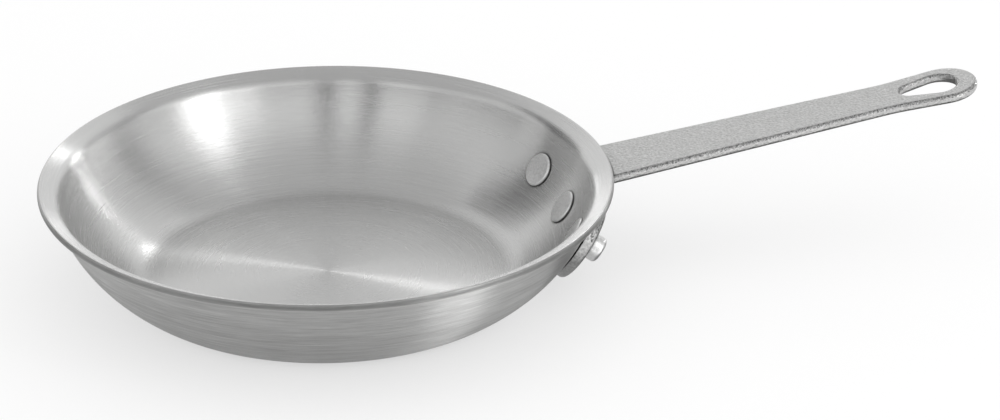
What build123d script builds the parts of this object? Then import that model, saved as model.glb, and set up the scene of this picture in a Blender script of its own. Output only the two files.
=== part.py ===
from build123d import *

from math import cos, radians, sin, tan
import os

os.makedirs("parts", exist_ok=True)

# Omelette pan: one spun sheet, one cast handle and three solid rivets.
# The handle runs along +X, and the origin is the centre of the flat bottom.

# Pan body
pan_diameter = 203.8  # over the sharp outer corner of the lip, an 8 inch pan
pan_height = 39.15  # from the flat bottom to the sharp top corner of the lip
sheet = 2.5  # thickness of the spun sheet, the same all over
wall_reach = 28.2  # how far the wall leans out, from its sharp corner with the floor to the lip
wall_bow = 4.45  # how far the wall bulges from the straight line between its ends
floor_corner = 17.0  # radius that blends the floor into the wall
lip_width = 6.0  # how far the lip reaches out past the wall
lip_angle = 25  # slope of the lip, rising outwards
lip_bend = 3.75  # radius of the bend from the wall into the lip
lip_round = 0.8  # rounding of the lip's upper edge
lip_under_round = 1.5  # rounding of its lower edge

# Handle
bar_thickness = 3.4
bar_angle = 8.75  # how steeply the bar rises away from the pan
bar_drop = 0.7  # how far the bar's top passes below the lip's lower corner
bar_root_width = 27.4  # where the bar meets the wall
bar_waist_width = 20.3  # where the bar is narrowest, before it swells into the eye
bar_length = 137.9  # from the edge of the lip to the tip
bar_round = 1.4  # rounding of the edges of the bar and of the saddle's outer face
eye_diameter = 24.6
eye_flare = 20.5  # length over which the bar swells from its waist to its eye
bar_blend = 60.0  # radius that smooths the bar's outline where it turns
slot_wide_diameter = 13.6  # end of the hanging slot that is next to the tip
slot_narrow_diameter = 8.0
slot_pitch = 10.1  # between the centres of the two ends of the slot
eye_rim = 7.6  # metal left between the slot and the tip
saddle_thickness = 4.15
saddle_foot_share = 0.256  # how far up the wall the saddle starts, as a share of the wall
saddle_top_share = 0.875  # how far up the wall it ends
seam_round = 0.5  # rounding of the saddle's edge next to the wall
neck_blend = 4.0  # radius under the bend, between the saddle and the bar
shoulder_blend = 2.0  # radius in the corners between the saddle and the bar

# Rivets
rivet_pitch = 28.4  # sideways, from the middle rivet to the outer ones
rivet_lift = 0.6  # how far up the wall the middle rivet sits from the saddle's middle line
outer_rivet_lift = 1.1  # the same for the outer rivets
rivet_diameter = 8.0
head_diameter = 12.6
head_height = 1.2
head_round = 0.8
tail_diameter = 9.4
tail_height = 4.9
tail_round = 1.6

# Mid-sheet line of the pan, in the plane of its radius and its height
lip_slope = radians(lip_angle)
lip_end = Vector(
    pan_diameter / 2 - sheet / 2 * sin(lip_slope), pan_height - sheet / 2 * cos(lip_slope)
)
wall_top = lip_end - Vector(lip_width, lip_width * tan(lip_slope))

# Pan blank: the spun sheet before it is drilled
with BuildPart() as pan_blank:
    with BuildSketch(Plane.XZ):
        with BuildLine() as mid_sheet:
            floor = Line((0, sheet / 2), (wall_top.X - wall_reach, sheet / 2))
            wall = SagittaArc(floor @ 1, wall_top, -wall_bow)
            lip = Line(wall @ 1, lip_end)
            corners = mid_sheet.vertices().sort_by(Axis.X)
            fillet(corners[1], radius=floor_corner)
            fillet(corners[2], radius=lip_bend)
        trace(line_width=sheet)
    revolve(axis=Axis.Z)
    lip_edges = pan_blank.edges().filter_by(GeomType.CIRCLE).sort_by(SortBy.RADIUS)[-2:]
    lip_under_edge, lip_edge = lip_edges.sort_by(Axis.Z)
    fillet(lip_under_edge, radius=lip_under_round)
    fillet(lip_edge, radius=lip_round)

# Saddle plane: touches the outside of the wall halfway between the saddle's foot and top
wall_radius = wall.radius + sheet / 2
saddle_radius = wall_radius + saddle_thickness
band_radius = (wall.radius + saddle_radius) / 2
band_shares = (0, 0.5, 1)


def wall_point(share, radius):
    """Point at a share of the way up the wall, at a radius about the centre of its arc."""
    centre = wall.arc_center
    return centre + (wall @ share - centre) * (radius / wall.radius)


saddle_shares = (saddle_foot_share, (saddle_foot_share + saddle_top_share) / 2, saddle_top_share)
saddle_foot, middle, saddle_top = [
    Plane.XZ.from_local_coords(wall_point(share, wall_radius)) for share in saddle_shares
]
saddle_width = (saddle_top - saddle_foot).length
upward = (saddle_top - saddle_foot).normalized()
saddle_plane = Plane(middle, x_dir=(0, 1, 0), z_dir=Vector(0, 1, 0).cross(upward))

# Seats of the rivets: a row drawn on the saddle plane and carried to the wall,
# where each rivet stands square to it
wall_face = pan_blank.faces().sort_by_distance(middle)[0]


def seat_at(sideways, lift):
    """Plane on the outside of the wall whose Z axis points straight out of it."""
    ray = Axis(saddle_plane.from_local_coords(Vector(sideways, lift, 0)), saddle_plane.z_dir)
    hits = wall_face.find_intersection_points(ray)
    point, normal = max(hits, key=lambda hit: hit[0].X)
    return Plane(point, x_dir=Vector(0, 1, 0).cross(normal), z_dir=normal)


seats = {
    "rivet_right": seat_at(-rivet_pitch, outer_rivet_lift),
    "rivet_middle": seat_at(0, rivet_lift),
    "rivet_left": seat_at(rivet_pitch, outer_rivet_lift),
}

# Bar plane: the top face of the bar, which starts just below the lip
bar_slope = radians(bar_angle)
lip_corner = Vector(pan_diameter / 2, 0, pan_height - sheet * cos(lip_slope))
bar_plane = Plane(
    lip_corner - Vector(0, 0, bar_drop),
    x_dir=(cos(bar_slope), 0, sin(bar_slope)),
    z_dir=(-sin(bar_slope), 0, cos(bar_slope)),
)
bar_start = (wall_top.X - pan_diameter / 2) / cos(bar_slope)
eye_centre = bar_length - eye_diameter / 2
waist = eye_centre - eye_flare
slot_wide_centre = bar_length - eye_rim - slot_wide_diameter / 2

# Handle blank: the handle before it is drilled
with BuildPart() as handle_blank:
    # Saddle: a band round the wall, cut to a strip with round ends and a neck
    with BuildSketch(Plane.left):
        with BuildLine():
            ThreePointArc(*[wall_point(share, band_radius) for share in band_shares])
        trace(line_width=saddle_radius - wall.radius)
    revolve(axis=Axis.Z, revolution_arc=180)
    with BuildSketch(saddle_plane) as saddle_outline:
        SlotCenterToCenter(2 * rivet_pitch, saddle_width)
        with Locations((0, saddle_width)):
            Rectangle(bar_root_width, 2 * saddle_width)
        for side in (-1, 1):
            corner = Vector(side * bar_root_width / 2, saddle_width / 2)
            fillet(saddle_outline.vertices().sort_by_distance(corner)[0], radius=shoulder_blend)
    extrude(amount=saddle_width, both=True, mode=Mode.INTERSECT)

    # Bar: tapers to its waist, then swells into the eye with its hanging slot
    with BuildSketch(bar_plane) as bar_outline:
        with BuildLine():
            Polyline(
                (bar_start, bar_root_width / 2),
                (0, bar_root_width / 2),
                (waist, bar_waist_width / 2),
                (waist, -bar_waist_width / 2),
                (0, -bar_root_width / 2),
                (bar_start, -bar_root_width / 2),
                close=True,
            )
        make_face()
        with BuildSketch(mode=Mode.PRIVATE) as eye:
            with Locations((eye_centre, 0)):
                Circle(eye_diameter / 2)
            with Locations((waist, 0)):
                Circle(bar_waist_width / 2)
            make_hull()
        add(eye.sketch)
        for side in (-1, 1):
            for along, width in ((0, bar_root_width), (waist, bar_waist_width)):
                corner = Vector(along, side * width / 2)
                fillet(bar_outline.vertices().sort_by_distance(corner)[0], radius=bar_blend)
        with BuildSketch(mode=Mode.PRIVATE) as slot:
            with Locations((slot_wide_centre, 0)):
                Circle(slot_wide_diameter / 2)
            with Locations((slot_wide_centre - slot_pitch, 0)):
                Circle(slot_narrow_diameter / 2)
            make_hull()
        add(slot.sketch, mode=Mode.SUBTRACT)
    extrude(amount=-bar_thickness)

    # Everything inside the sheet goes, so the handle seats on the wall and under the lip
    add(pan_blank.part, mode=Mode.SUBTRACT)

    # Roundings: the bend between saddle and bar, the bar's edges, the saddle's inner edge
    bar_middle = bar_plane.from_local_coords(Vector(bar_length / 2, 0, 0))
    underside = bar_plane.from_local_coords(Vector(bar_length / 2, 0, -bar_thickness))
    saddle_outside = saddle_plane.from_local_coords(Vector(0, 0, saddle_thickness))
    saddle_face = handle_blank.faces().sort_by_distance(saddle_outside)[0]
    under_face = handle_blank.faces().sort_by_distance(underside)[0]
    fillet(saddle_face.edges() & under_face.edges(), radius=neck_blend)
    for point in (bar_middle, underside):
        face = handle_blank.faces().sort_by_distance(point)[0]
        outline = face.edges().filter_by(lambda edge: edge.center().X > bar_plane.origin.X)
        fillet(outline, radius=bar_round)
    seat_face = handle_blank.faces().sort_by_distance(middle)[0]
    strip_top = (saddle_width + shoulder_blend) / 2
    strip_edges = seat_face.edges().filter_by(
        lambda edge: saddle_plane.to_local_coords(edge.center()).Y < strip_top
    )
    fillet(strip_edges, radius=seam_round)

drill_depth = sheet + saddle_thickness


def drilled(blank):
    """The blank with the three rivet holes through it."""
    with BuildPart() as piece:
        add(blank.part)
        with BuildSketch(*seats.values()):
            Circle(rivet_diameter / 2)
        extrude(amount=drill_depth, both=True, mode=Mode.SUBTRACT)
    return piece


def driven_rivet(seat):
    """Rivet that fills its hole, with its head in the pan and its tail on the saddle."""
    with BuildPart() as rivet:
        with BuildSketch(seat.offset(-sheet / 2)):
            Circle(head_diameter / 2)
        extrude(amount=-sheet / 2 - head_height)
        fillet(rivet.faces().sort_by(Axis(seat.origin, seat.z_dir))[0].edges(), radius=head_round)
        with BuildSketch(seat.offset(saddle_thickness / 2)):
            Circle(tail_diameter / 2)
        extrude(amount=saddle_thickness / 2 + tail_height)
        fillet(rivet.faces().sort_by(Axis(seat.origin, seat.z_dir))[-1].edges(), radius=tail_round)
        # The head beds on the wall and the tail on the saddle
        add(pan_blank.part, mode=Mode.SUBTRACT)
        add(handle_blank.part, mode=Mode.SUBTRACT)
        with BuildSketch(seat.offset(-sheet - head_height / 2)):
            Circle(rivet_diameter / 2)
        extrude(amount=drill_depth + head_height / 2 + tail_height / 2)
    return rivet


pan_body = drilled(pan_blank)
pan_body.part.label = "pan_body"
export_step(pan_body.part, "parts/pan_body.step")

handle = drilled(handle_blank)
handle.part.label = "handle"
export_step(handle.part, "parts/handle.step")

for name, seat in seats.items():
    rivet = driven_rivet(seat)
    rivet.part.label = name
    export_step(rivet.part, f"parts/{name}.step")
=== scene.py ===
import math

import bpy
import numpy as np
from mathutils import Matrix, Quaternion, Vector


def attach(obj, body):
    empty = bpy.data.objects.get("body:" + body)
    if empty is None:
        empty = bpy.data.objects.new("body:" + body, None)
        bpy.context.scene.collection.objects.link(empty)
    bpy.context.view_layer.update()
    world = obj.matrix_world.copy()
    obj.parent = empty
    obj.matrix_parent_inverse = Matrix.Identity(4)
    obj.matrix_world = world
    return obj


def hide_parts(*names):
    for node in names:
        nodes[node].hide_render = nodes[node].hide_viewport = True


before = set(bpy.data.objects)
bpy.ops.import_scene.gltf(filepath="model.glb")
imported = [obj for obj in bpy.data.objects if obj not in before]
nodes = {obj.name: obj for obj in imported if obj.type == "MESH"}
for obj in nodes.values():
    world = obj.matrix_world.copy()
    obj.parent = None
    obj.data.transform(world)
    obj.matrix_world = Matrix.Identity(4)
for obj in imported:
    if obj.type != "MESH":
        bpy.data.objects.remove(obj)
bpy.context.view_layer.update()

MM = 0.001


# Pan body
# One disc of aluminium sheet, spun over a former into a floor, a bowed wall and a flared lip.
# The wheel of the polishing lathe leaves fine rings inside and coarser ones outside.
pan_diameter = 203.8 * MM
pan_height = 39.15 * MM
sheet = 2.5 * MM
wall_reach = 28.2 * MM
wall_bow = 4.45 * MM
floor_corner = 17.0 * MM
lip_width = 6.0 * MM
lip_slope = math.radians(25)
lip_bend = 3.75 * MM
lip_round = 0.8 * MM
lip_under_round = 1.5 * MM
trimmed_edge = (pan_diameter / 2 - 0.8 * MM, pan_diameter / 2 - 0.5 * MM)
floor_steps = 40
corner_steps = 24
wall_steps = 40
bend_steps = 20
round_steps = 9
spokes = 360
just_inside = 0.99994  # Keeps the turned surface inside the box of the CAD solid


def turned(angles, sign=1):
    """Unit vectors across a line that travels at these angles above the horizontal: to its
    left for sign 1, and to its right for -1, as (radius, height) pairs."""
    return sign * np.stack([-np.sin(angles), np.cos(angles)], axis=-1)


def spun_profile():
    """Closed outline of half the section, as (radius, height) pairs, from the middle of the
    floor's upper side, out to the lip and back to the middle of the underside, and the row
    in the lip's edge where the inside ends.

    The middle of the sheet runs along the floor, round the floor's corner, up an arc, round
    the lip's bend and out along the lip. The two sides lie half a sheet across from it."""
    half = sheet / 2
    along_lip = np.array([math.cos(lip_slope), math.sin(lip_slope)])
    over_lip = turned(np.array(lip_slope))
    lip_top = np.array([pan_diameter / 2, pan_height])
    lip_end = lip_top - half * np.array([math.sin(lip_slope), math.cos(lip_slope)])
    wall_top = lip_end - along_lip * lip_width / math.cos(lip_slope)
    wall_foot = np.array([wall_top[0] - wall_reach, half])

    # The wall's arc: its radius from the chord and the bow, its centre inwards from the middle
    chord = wall_top - wall_foot
    length = np.hypot(*chord)
    wall_radius = (length**2 / 4 + wall_bow**2) / (2 * wall_bow)
    inwards = np.array([-chord[1], chord[0]]) / length
    wall_centre = (wall_foot + wall_top) / 2 + inwards * (wall_radius - wall_bow)

    # The floor's corner touches the floor and the inside of the arc
    corner_height = half + floor_corner
    fall = wall_centre[1] - corner_height
    corner_reach = math.sqrt((wall_radius - floor_corner) ** 2 - fall**2)
    corner_centre = np.array([wall_centre[0] + corner_reach, corner_height])
    wall_start = math.atan2(corner_reach, fall)

    # The bend touches the outside of the arc and the underside of the lip
    start = wall_top - lip_bend * over_lip - wall_centre
    back = np.dot(start, along_lip)
    reach = math.sqrt(back**2 + (wall_radius + lip_bend) ** 2 - np.dot(start, start)) - back
    bend_centre = wall_centre + start + reach * along_lip
    to_bend = bend_centre - wall_centre
    wall_end = math.atan2(to_bend[0], -to_bend[1])

    floor_radii = np.linspace(0, corner_centre[0], floor_steps)[:-1]
    floor_angles = np.zeros(len(floor_radii))
    corner_angles = np.linspace(0, wall_start, corner_steps)
    wall_angles = np.linspace(wall_start, wall_end, wall_steps)[1:]
    bend_angles = np.linspace(wall_end, lip_slope, bend_steps)[1:]
    angles = np.concatenate([floor_angles, corner_angles, wall_angles, bend_angles])
    middle = np.concatenate(
        [
            np.stack([floor_radii, floor_angles + half], axis=-1),
            corner_centre + floor_corner * turned(corner_angles, -1),
            wall_centre + wall_radius * turned(wall_angles, -1),
            bend_centre + lip_bend * turned(bend_angles),
        ]
    )
    upper = middle + half * turned(angles)
    under = middle - half * turned(angles)

    # The lip's edge: a small round above and a larger one below
    sweep = np.linspace(0, math.pi / 2, round_steps)[:, None]
    rounds = []
    for radius, side in ((lip_round, 1), (lip_under_round, -1)):
        centre = lip_end - radius * along_lip + side * (half - radius) * over_lip
        rounds.append(centre + radius * (np.sin(sweep) * along_lip + side * np.cos(sweep) * over_lip))
    outline = np.concatenate([upper, rounds[0], rounds[1][::-1], under[::-1]])
    outline[:, 0] *= just_inside
    return outline, len(upper) + round_steps // 2


def placed(name, data):
    """A new object in the scene that holds a mesh, a lamp or a camera."""
    made = bpy.data.objects.new(name, data)
    bpy.context.scene.collection.objects.link(made)
    return made


def spun(name, profile, split):
    """A profile turned about Z: column k of the grid is the profile at k / spokes of a turn,
    (radius * cos, radius * sin, height). The first and last rows shrink to one point each.
    Faces before row split get material slot 0, and the rest slot 1."""
    turns = np.arange(spokes) / spokes * 2 * np.pi
    rings = profile[1:-1]
    count = len(rings)
    grid = np.stack(
        [
            rings[:, None, 0] * np.cos(turns),
            rings[:, None, 0] * np.sin(turns),
            np.broadcast_to(rings[:, None, 1], (count, spokes)),
        ],
        axis=-1,
    )
    poles = [[0, 0, profile[0, 1]], [0, 0, profile[-1, 1]]]
    points = np.concatenate([grid.reshape(-1, 3), poles])
    first = np.arange(spokes)
    after = (first + 1) % spokes
    row = np.arange(count - 1)[:, None] * spokes
    quads = np.stack([row + first + spokes, row + after + spokes, row + after, row + first], axis=-1)
    last = (count - 1) * spokes
    cap = np.stack([first, after, np.full(spokes, count * spokes)], axis=-1)
    base = np.stack([last + after, last + first, np.full(spokes, count * spokes + 1)], axis=-1)
    faces = quads.reshape(-1, 4).tolist() + cap.tolist() + base.tolist()
    mesh = bpy.data.meshes.new(name)
    mesh.from_pydata(points.tolist(), [], faces)
    slots = np.ones(len(faces), dtype=np.int32)
    slots[: (split - 1) * spokes] = 0
    slots[-2 * spokes : -spokes] = 0
    mesh.polygons.foreach_set("material_index", slots)
    mesh.polygons.foreach_set("use_smooth", np.ones(len(faces), dtype=bool))
    mesh.update()
    return placed(name, mesh)


def node(tree, kind, values=(), links=(), **settings):
    """A new shader node: its settings, then the values of its inputs by name or number, then
    the outputs that feed its inputs."""
    made = tree.nodes.new("ShaderNode" + kind)
    for setting, value in settings.items():
        setattr(made, setting, value)
    for socket, value in dict(values).items():
        made.inputs[socket].default_value = value
    for socket, output in dict(links).items():
        tree.links.new(output, made.inputs[socket])
    return made


def shader_group(name, inputs, outputs):
    """A new node group with named inputs and their usual values, and named outputs, then the
    sockets inside it that give the inputs and take the outputs."""
    group = bpy.data.node_groups.new(name, "ShaderNodeTree")
    for socket, value in inputs.items():
        made = group.interface.new_socket(socket, in_out="INPUT", socket_type="NodeSocketFloat")
        made.default_value = value
    for socket in outputs:
        group.interface.new_socket(socket, in_out="OUTPUT", socket_type="NodeSocketFloat")
    return group, group.nodes.new("NodeGroupInput").outputs, group.nodes.new("NodeGroupOutput").inputs


def ring_grain_group():
    """Grain: streaks that run round the axis, from noise on (cos, sin, distance across the
    rings), with its contrast about its middle. Edge: a mask of the lip's trimmed edge."""
    usual = {"Rings per metre": 2500.0, "Streaks per turn": 12.0, "Contrast": 1.0}
    group, given, result = shader_group("ring_grain", usual, ("Grain", "Edge"))
    place = node(group, "TexCoord")
    split = node(group, "SeparateXYZ", links={0: place.outputs["Object"]})
    flat = node(group, "CombineXYZ", links={"X": split.outputs["X"], "Y": split.outputs["Y"]})
    radius = node(group, "VectorMath", links={0: flat.outputs[0]}, operation="LENGTH")
    around = node(group, "VectorMath", links={0: flat.outputs[0]}, operation="NORMALIZE")
    streaks = node(
        group, "VectorMath", operation="SCALE",
        links={0: around.outputs["Vector"], "Scale": given["Streaks per turn"]},
    )
    across = node(
        group, "Math", operation="ADD",
        links={0: radius.outputs["Value"], 1: split.outputs["Z"]},
    )
    rings = node(
        group, "Math", operation="MULTIPLY",
        links={0: across.outputs[0], 1: given["Rings per metre"]},
    )
    turn = node(group, "SeparateXYZ", links={0: streaks.outputs["Vector"]})
    joined = node(
        group, "CombineXYZ",
        links={"X": turn.outputs["X"], "Y": turn.outputs["Y"], "Z": rings.outputs[0]},
    )
    noise = node(
        group, "TexNoise", {"Scale": 1.0, "Detail": 4.0, "Roughness": 0.65},
        {"Vector": joined.outputs[0]},
    )
    middle = node(group, "Math", {1: 0.5}, {0: noise.outputs["Fac"]}, operation="SUBTRACT")
    strong = node(
        group, "Math", {2: 0.5}, {0: middle.outputs[0], 1: given["Contrast"]},
        operation="MULTIPLY_ADD",
    )
    edge = node(
        group, "MapRange", {"From Min": trimmed_edge[0], "From Max": trimmed_edge[1]},
        {"Value": radius.outputs["Value"]},
    )
    group.links.new(strong.outputs[0], result["Grain"])
    group.links.new(edge.outputs["Result"], result["Edge"])
    return group


def crease_shade_group():
    """Painted shade: a mask of the narrow corners within a reach, where the colour is darkened as if
    shade fell there.
    """
    group, given, result = shader_group("painted_crease_shade", {"Reach": 1.6 * MM}, ("Painted shade",))
    openness = node(group, "AmbientOcclusion", links={"Distance": given["Reach"]})
    painted_shade = node(
        group, "MapRange", {"From Min": 0.94, "From Max": 0.70}, {"Value": openness.outputs["AO"]}
    )
    group.links.new(painted_shade.outputs["Result"], result["Painted shade"])
    return group


ring_grain = ring_grain_group()
painted_crease_shade = crease_shade_group()
# Creases are darkened as painted shade.
crease_shade = -0.8  # How far a full crease darkens the colour


def shader_tree(material_name):
    """A new material, with its node tree and its Principled BSDF."""
    material = bpy.data.materials.new(material_name)
    material.use_nodes = True
    tree = material.node_tree
    return material, tree, tree.nodes["Principled BSDF"]


def weighted(tree, base, *parts):
    """A value: base plus, for each (output, weight, middle), weight times output less middle."""
    start = base - sum(weight * middle for output, weight, middle in parts)
    total = None
    for output, weight, middle in parts:
        step = node(tree, "Math", {1: weight, 2: start}, {0: output}, operation="MULTIPLY_ADD")
        if total is not None:
            tree.links.new(total, step.inputs[2])
        total = step.outputs[0]
    return total


def metal_surface(tree, metal, colour, shade, gloss, height, depth):
    """Feeds a metal: its colour times a shade, its roughness from gloss, and a bump this deep
    from a height of 0 to 1."""
    tint = node(tree, "VectorMath", {0: colour}, {"Scale": shade}, operation="SCALE")
    bump = node(tree, "Bump", {"Distance": depth, "Strength": 1.0}, {"Height": height})
    tree.links.new(tint.outputs["Vector"], metal.inputs["Base Color"])
    tree.links.new(gloss, metal.inputs["Roughness"])
    tree.links.new(bump.outputs["Normal"], metal.inputs["Normal"])
    metal.inputs["Metallic"].default_value = 1.0


def spun_finish(name, colour, roughness, rings, depth, tone):
    """Turned aluminium: a metal with its gloss drawn out across the rings of its grain. Fine
    short scratches lie on coarser long ones, and the whole has faint cloudy stains. Tone says
    how far the scratches change the colour."""
    material, tree, metal = shader_tree(name)
    fine, coarse = [
        node(
            tree, "Group", node_tree=ring_grain,
            values={"Rings per metre": rings * finer, "Streaks per turn": streaks, "Contrast": 1.6},
        )
        for finer, streaks in ((3.0, 8.0), (1.0, 2.0))
    ]
    place = node(tree, "TexCoord")
    stains = node(
        tree, "TexNoise", {"Scale": 25, "Detail": 3}, {"Vector": place.outputs["Object"]}
    )
    crease = node(tree, "Group", node_tree=painted_crease_shade)
    shade = weighted(
        tree, 1.0,
        (fine.outputs["Grain"], tone, 0.5), (coarse.outputs["Grain"], tone, 0.5),
        # The lip's cut edge: its colour darkened a quarter is painted shade, while its higher roughness
        # below is its own.
        (stains.outputs["Fac"], 0.06, 0.5), (fine.outputs["Edge"], -0.25, 0.0),
        # Creases: painted shade.
        (crease.outputs["Painted shade"], crease_shade, 0.0),
    )
    gloss = weighted(
        tree, roughness,
        (coarse.outputs["Grain"], 0.10, 0.5), (stains.outputs["Fac"], 0.05, 0.5),
        (fine.outputs["Edge"], 0.35, 0.0),
    )
    height = weighted(tree, 0.5, (fine.outputs["Grain"], 0.4, 0.5), (coarse.outputs["Grain"], 1.0, 0.5))
    metal_surface(tree, metal, colour, shade, gloss, height, depth)
    tangent = node(tree, "Tangent", direction_type="RADIAL", axis="Z")
    tree.links.new(tangent.outputs["Tangent"], metal.inputs["Tangent"])
    metal.inputs["Anisotropic"].default_value = 1.0
    metal.inputs["Anisotropic Rotation"].default_value = 0.25
    return material


pan = spun("spun_pan", *spun_profile())
pan.data.materials.append(
    spun_finish(
        "spun_inside", (0.72, 0.72, 0.715), roughness=0.25, rings=1300, depth=0.028 * MM, tone=0.10
    )
)
# The outside is darker than the inside: partly its coarser finish, partly painted shade for the shaded
# floor it faces.
pan.data.materials.append(
    spun_finish(
        "spun_outside", (0.55, 0.55, 0.545), roughness=0.44, rings=500, depth=0.18 * MM, tone=0.44
    )
)
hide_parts("pan_body")
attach(pan, "root")


# Handle
# One aluminium casting: a saddle wrapped on the wall, a neck, a tapered bar and an eye with a
# teardrop slot. It is shot blasted all over, which leaves an even matt grain.
saddle_reach = (107 * MM, 98 * MM)  # From the pan's axis: where the painted shade near the wall starts, and where it is full
edge_slope = 0.62  # Height of the unit normal in the middle of a rounded upper edge
edge_slope_range = 0.33


def blast_grain_group():
    """What casting and blasting leave: small round dents and specks, slow patches, and a mask
    of dark pits on the upper edges, where the surface is neither flat nor upright: the
    height of its unit normal is then near the edges' slope. Keeping the pits to these
    upward-facing edges is partly pitting and partly painted shade."""
    usual = {
        "Dents per metre": 1300.0, "Specks per metre": 900.0,
        "Patches per metre": 70.0, "Pits per metre": 2000.0,
    }
    group, given, result = shader_group("blast_grain", usual, ("Dents", "Specks", "Patches", "Pits"))
    place = node(group, "TexCoord")
    dents, specks, patches, holes = [
        node(
            group, kind, values,
            {"Vector": place.outputs["Object"], "Scale": given[count + " per metre"]},
        )
        for kind, values, count in (
            ("TexNoise", {"Detail": 3}, "Dents"), ("TexVoronoi", {}, "Specks"),
            ("TexNoise", {"Detail": 4}, "Patches"), ("TexNoise", {"Detail": 3}, "Pits"),
        )
    ]
    shape = node(group, "NewGeometry")
    facing = node(group, "SeparateXYZ", links={0: shape.outputs["Normal"]})
    edge = node(
        group, "Math", {1: edge_slope, 2: edge_slope_range}, {0: facing.outputs["Z"]},
        operation="COMPARE",
    )
    deep = node(
        group, "MapRange", {"From Min": 0.54, "From Max": 0.38}, {"Value": holes.outputs["Fac"]}
    )
    pits = node(
        group, "Math", links={0: deep.outputs["Result"], 1: edge.outputs[0]}, operation="MULTIPLY"
    )
    group.links.new(dents.outputs["Fac"], result["Dents"])
    group.links.new(specks.outputs["Distance"], result["Specks"])
    group.links.new(patches.outputs["Fac"], result["Patches"])
    group.links.new(pits.outputs[0], result["Pits"])
    return group


blast_grain = blast_grain_group()


def blasted_finish(name, colour, roughness, blast, pits_and_edge_shade, wall_shade):
    """Blasted aluminium: small round dents, slow changes of tone and gloss, and dark pitted upper
    edges, partly pitting and partly painted shade. Blast says how deep the dents are, the next
    how dark the pits, and the last how much painted shade darkens the metal near the pan's
    wall, under the lip. Creases get painted shade too."""
    material, tree, metal = shader_tree(name)
    grain = node(tree, "Group", node_tree=blast_grain)
    crease = node(tree, "Group", node_tree=painted_crease_shade)
    place = node(tree, "TexCoord")
    flat = node(
        tree, "VectorMath", {1: (1, 1, 0)}, {0: place.outputs["Object"]}, operation="MULTIPLY"
    )
    reach = node(tree, "VectorMath", links={0: flat.outputs["Vector"]}, operation="LENGTH")
    near = node(
        tree, "MapRange", {"From Min": saddle_reach[0], "From Max": saddle_reach[1]},
        {"Value": reach.outputs["Value"]},
    )
    shade = weighted(
        tree, 1.0,
        (grain.outputs["Dents"], 0.9 * blast, 0.5), (grain.outputs["Specks"], 0.30 * blast, 0.45),
        # Pits on the upper edges: partly pitting, partly painted shade.
        (grain.outputs["Patches"], 0.20, 0.5), (grain.outputs["Pits"], -pits_and_edge_shade, 0.0),
        # Creases and the metal near the pan's wall, under the lip: painted shade.
        (crease.outputs["Painted shade"], crease_shade, 0.0), (near.outputs["Result"], -wall_shade, 0.0),
    )
    gloss = weighted(tree, roughness, (grain.outputs["Patches"], 0.2, 0.5))
    height = weighted(tree, 0.5, (grain.outputs["Dents"], 1.0, 0.5), (grain.outputs["Specks"], 0.5, 0.5))
    metal_surface(tree, metal, colour, shade, gloss, height, 0.25 * MM * blast)
    return material


nodes["handle"].data.materials.clear()
nodes["handle"].data.materials.append(
    blasted_finish(
        "blasted_casting", (0.54, 0.54, 0.535), roughness=0.32, blast=0.8, pits_and_edge_shade=0.65, wall_shade=0.20
    )
)


# Rivets
# Three solid aluminium rivets, driven from inside the pan, with a low head inside and a tall
# tail on the saddle.
for name in ("rivet_left", "rivet_middle", "rivet_right"):
    nodes[name].data.materials.clear()
    nodes[name].data.materials.append(
        blasted_finish(
            name + "_satin", (0.92, 0.92, 0.915), roughness=0.36, blast=0.35, pits_and_edge_shade=0.12, wall_shade=0.0
        )
    )


# Camera
# It stands in front of the pan, a little to the left of square to the handle, and looks down
# on it with a long lens.
def bearing(azimuth, elevation):
    """The unit vector at these degrees round from the handle and above the floor."""
    around, up = math.radians(azimuth), math.radians(elevation)
    return Vector((math.cos(around) * math.cos(up), math.sin(around) * math.cos(up), math.sin(up)))


lens = bpy.data.cameras.new("camera")
lens.lens = 144
lens.sensor_width = 36
camera = placed("camera", lens)
camera.location = (-0.2071, -1.2649, 0.6267)
camera.rotation_mode = "QUATERNION"
camera.rotation_quaternion = bearing(77.964, -25.124).to_track_quat("-Z", "Y")
bpy.context.scene.camera = camera


# Floor
# A wide sheet of white paper. The camera and reflections see it partly glowing, so that it is
# white, and it still takes the pan's shadow.
floor_half = 4.0
paper_share = 0.6


def flat_mesh(name, corners, height):
    """One flat face at a height, with these (x, y) corners."""
    mesh = bpy.data.meshes.new(name)
    mesh.from_pydata([(x, y, height) for x, y in corners], [], [list(range(len(corners)))])
    return mesh


signs = ((-1, -1), (1, -1), (1, 1), (-1, 1))
floor = placed("floor", flat_mesh("floor", [(x * floor_half, y * floor_half) for x, y in signs], 0.0))
paper, floor_tree, matt = shader_tree("white_floor")
matt.inputs["Base Color"].default_value = (0.95, 0.95, 0.95, 1)
matt.inputs["Roughness"].default_value = 1.0
matt.inputs["Specular IOR Level"].default_value = 0.0
glow = node(floor_tree, "Emission")
rays = node(floor_tree, "LightPath").outputs
either = node(
    floor_tree, "Math", links={0: rays["Is Camera Ray"], 1: rays["Is Glossy Ray"]}, operation="MAXIMUM"
)
seen = node(
    floor_tree, "Math", links={0: either.outputs[0], 1: rays["Is Transmission Ray"]}, operation="MAXIMUM"
)
share = node(floor_tree, "Math", {1: paper_share}, {0: seen.outputs[0]}, operation="MULTIPLY")
blend = node(
    floor_tree, "MixShader", links={0: share.outputs[0], 1: matt.outputs[0], 2: glow.outputs[0]}
)
floor_tree.links.new(blend.outputs[0], floor_tree.nodes["Material Output"].inputs["Surface"])
floor.data.materials.append(paper)


# Lamps
# Soft boxes to the right of the pan, and narrow strips behind it to the right, whose streaks
# cross the brushed rings.
lamp_distance = 2.0


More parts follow.
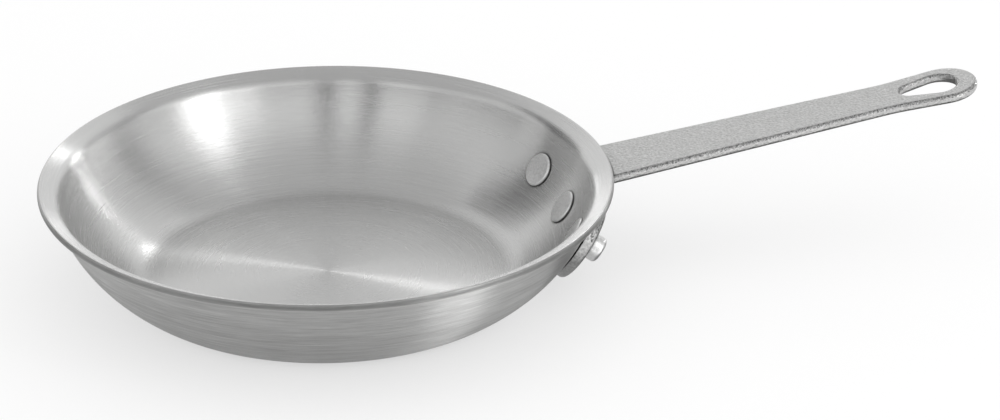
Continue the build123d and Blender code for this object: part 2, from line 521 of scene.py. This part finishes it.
def soft_box(name, azimuth, elevation, width, height, lean, radiance):
    """An area lamp at this bearing, turned to face the pan, with its top leaning to the left
    by lean degrees, and with this radiance."""
    data = bpy.data.lights.new(name, "AREA")
    data.shape = "RECTANGLE"
    data.size = width
    data.size_y = height
    data.energy = radiance * math.pi * width * height
    lamp = placed(name, data)
    towards = bearing(azimuth, elevation)
    lamp.location = towards * lamp_distance
    lamp.rotation_mode = "QUATERNION"
    leaning = Quaternion(towards, -math.radians(lean))
    lamp.rotation_quaternion = leaning @ (-towards).to_track_quat("-Z", "Y")


# Name, azimuth, elevation, width, height, lean and radiance
for lamp_values in (
    ("key_box", -42, 21, 0.36, 1.55, 0, 2.1),
    ("key_edge", -34, 15, 0.20, 1.1, 0, 1.0),
    ("key_wing", -57, 15, 0.80, 1.1, 0, 0.75),
    ("strip_foot", 33, 2.5, 0.025, 0.22, 8, 80.0),
    ("strip_low", 33, 9, 0.03, 0.5, 14, 18.0),
    ("strip_high", 41, 26, 0.035, 0.4, 50, 1.5),
    ("strip_top", 66, 31.8, 0.03, 0.32, 96, 13.0),
):
    soft_box(*lamp_values)


# Screens and cards
# Grey studio screens round the pan, and cards above it and beside it, that show only in the
# metal. The dark gaps between the screens draw the dark streaks. The dark cards on the floor
# under the pan and under the bar are painted shadow, and the bright one to its right is a
# painted pool of light.
screen_distance = 2.1
screen_steps = 24
ground, skirt, shelf, top = -0.05, 0.35, 0.5, 2.4


def screen_mesh(name, start, end, foot, head):
    """A patch of a cylinder round the pan, between two azimuths and two heights: point k is
    (distance * cos, distance * sin, height) at k steps of the way."""
    turns = np.radians(np.linspace(start, end, screen_steps))
    circle = screen_distance * np.stack([np.cos(turns), np.sin(turns)], axis=-1)
    rows = [np.column_stack([circle, np.full(screen_steps, height)]) for height in (foot, head)]
    first = np.arange(screen_steps - 1)
    above = first + screen_steps
    faces = np.stack([first, first + 1, above + 1, above], axis=-1)
    mesh = bpy.data.meshes.new(name)
    mesh.from_pydata(np.concatenate(rows).tolist(), [], faces.tolist())
    return mesh


def show_in_metal(name, mesh, grey):
    """Puts a screen or card in the scene, glowing with this grey and seen only in reflections."""
    paint, tree = shader_tree(name + "_paint")[:2]
    tint = node(tree, "Emission", {"Color": (grey, grey, grey, 1)})
    tree.links.new(tint.outputs[0], tree.nodes["Material Output"].inputs["Surface"])
    mesh.materials.append(paint)
    panel = placed(name, mesh)
    for ray in ("camera", "diffuse", "shadow", "transmission", "volume_scatter"):
        setattr(panel, "visible_" + ray, False)


def ring(radius):
    """36 points on a circle round the pan."""
    turns = np.radians(np.arange(0, 360, 10))
    return np.stack([radius * np.cos(turns), radius * np.sin(turns)], axis=-1).tolist()


for name, start, end, foot, head, grey in (
    ("skirt", -195, -55, ground, skirt, 0.12),
    ("screen_back", 30, 122, shelf, top, 0.80),
    ("screen_back_foot", 30, 72, ground, shelf, 0.86),
    ("screen_back_bright", 72, 104, ground, shelf, 1.6),
    ("screen_back_side", 104, 122, ground, shelf, 0.86),
    ("gap_back_left", 122, 149, ground, top, 0.15),
    ("screen_left", 149, 214, ground, top, 0.70),
    ("screen_front_left", -146, -123, skirt, top, 0.9),
    ("gap_left", -123, -118.2, skirt, top, 0.02),
    ("screen_front", -118.2, -103, skirt, top, 0.95),
    ("gap_camera", -103, -97.5, skirt, top, 0.08),
    ("screen_front_right", -97.5, -55, skirt, top, 0.9),
    ("screen_key", -55, -29, ground, top, 0.9),
    ("screen_right", -29, -10, ground, top, 0.85),
    ("screen_far_right", -10, -3, ground, top, 0.60),
    ("gap_right", -3, 9, ground, top, 0.36),
    ("screen_back_right", 9, 30, ground, top, 0.60),
):
    show_in_metal(name, screen_mesh(name, start, end, foot, head), grey)

# The floor cards under the pan and the bar are painted shadows, and the one to the right a painted pool
# of light, seen only in the metal.
for name, corners, height, grey in (
    ("ceiling", ring(screen_distance), top, 0.50),
    ("painted_shadow_under_pan", ring(0.115), 0.0004, 0.45),
    ("painted_shadow_under_bar", [(0.09, -0.05), (0.29, -0.05), (0.29, 0.12), (0.09, 0.12)], 0.0005, 0.15),
    ("painted_light_right", [(0.035, -0.115), (0.35, -0.55), (0.52, -0.42), (0.065, -0.098)], 0.0006, 2.0),
):
    show_in_metal(name, flat_mesh(name, corners, height), grey)


# Room
# A plain white world lights everything evenly, and the picture shows colours as they are.
world = bpy.data.worlds.new("room")
bpy.context.scene.world = world
world.use_nodes = True
world.node_tree.nodes["Background"].inputs["Color"].default_value = (1, 1, 1, 1)
world.node_tree.nodes["Background"].inputs["Strength"].default_value = 1.0

bpy.context.scene.view_settings.view_transform = "Standard"
